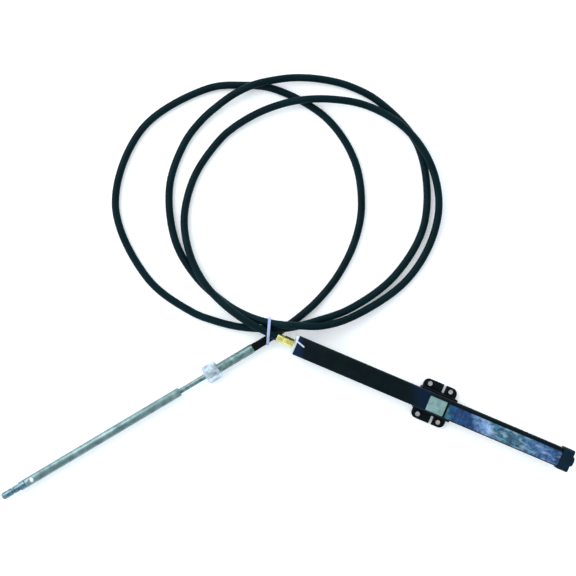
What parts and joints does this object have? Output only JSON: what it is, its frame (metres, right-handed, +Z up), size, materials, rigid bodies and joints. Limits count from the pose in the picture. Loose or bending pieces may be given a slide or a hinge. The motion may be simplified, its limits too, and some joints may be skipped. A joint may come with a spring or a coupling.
{
  "type": "boat steering cable",
  "caption": "Mechanical boat steering cable with a square rack tube on a bolted bracket, a long flexible cable in three loops, and a steel ram with a coupling nut.",
  "frame": {"origin": "a point on the mounting bracket's flat face, 26 mm along the rack tube from the middle of the four bolt holes, at floor level", "axes": "+X along the rack tube towards its end cap, +Y towards the loops of free cable, +Z up, away from the bracket's face"},
  "size_m": [0.9478, 0.9233, 0.0525],
  "materials": {
    "black_enamel": "satin",
    "black_jacket": "satin",
    "black_rubber": "matt",
    "black_cap": "satin",
    "zinc_plate": "bright plated",
    "brass": "bright turned",
    "steel": "ground",
    "grey_plate": "matt, worn",
    "blue_label": "glossy printed film",
    "white_nylon": "satin"
  },
  "bodies": {
    "housing": {"mounting_bracket": "black_enamel", "rack_tube": "black_enamel", "end_plug": "zinc_plate", "brass_fitting": "brass", "end_cap": "black_cap", "bracket_plate": "grey_plate", "rack_label": "blue_label", "rubber_sleeve": "black_rubber", "hub_tube": "steel", "guide_tube": "steel", "cable_jacket": "black_jacket", "cable_tie": "white_nylon"},
    "rack": {"toothed_rack": "steel"},
    "nut": {"coupling_nut": "zinc_plate"},
    "ram": {"ram_tube": "steel", "ram_end": "steel"}
  },
  "joints": [
    {"name": "ram_slide", "type": "slide", "parent": "housing", "child": "ram", "axis": [-0.5912, -0.8065, 0], "range_m": [-0.046, 0.183]},
    {"name": "rack_slide", "type": "slide", "parent": "housing", "child": "rack", "axis": [1, 0, 0], "range_m": [-0.183, 0.046]},
    {"name": "nut_turn", "type": "hinge", "parent": "housing", "child": "nut", "pos_m": [-0.41168, -0.10349, 0.0143], "axis": [-0.5912, -0.8065, 0], "continuous": true}
  ],
  "couplings": [
    {"joint": "rack_slide", "follows": "ram_slide", "ratio": -1}
  ]
}
